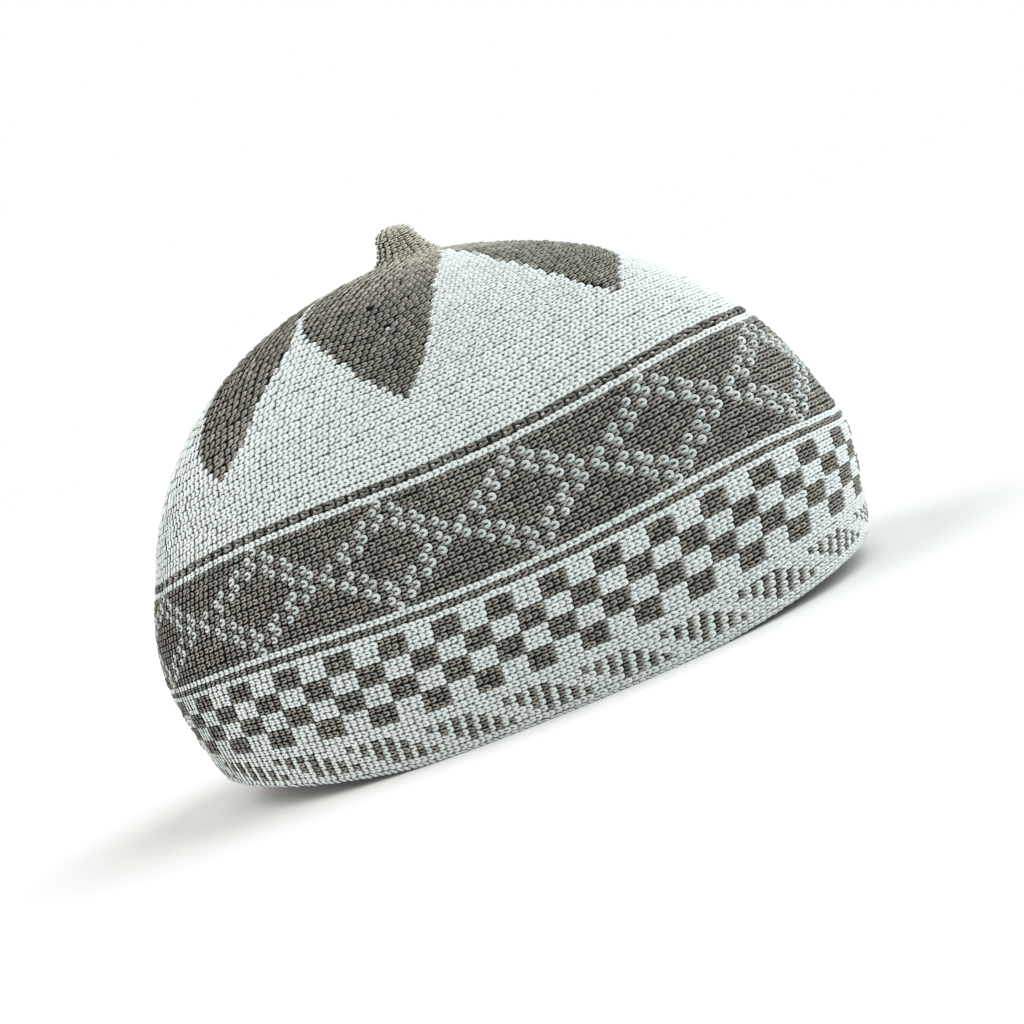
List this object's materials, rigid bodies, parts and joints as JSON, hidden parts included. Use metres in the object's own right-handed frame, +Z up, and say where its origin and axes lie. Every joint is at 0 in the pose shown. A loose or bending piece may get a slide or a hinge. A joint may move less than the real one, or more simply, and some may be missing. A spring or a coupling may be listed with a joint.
{
  "type": "knitted prayer cap",
  "caption": "Soft domed prayer cap knitted in two colours, with a patterned band, petal shapes on the crown and a small nub on top; open below for the head.",
  "frame": {"origin": "on the floor that the rim rests on, in the middle of the cap's box", "axes": "+X to the front along the head's long axis, +Z up to the nub"},
  "size_m": [0.2001, 0.1502, 0.1312],
  "materials": {
    "pale_yarn": "soft matt knitted yarn",
    "brown_yarn": "soft matt knitted yarn"
  },
  "bodies": {
    "root": {"knitted_cap": "pale_yarn"}
  },
  "joints": []
}
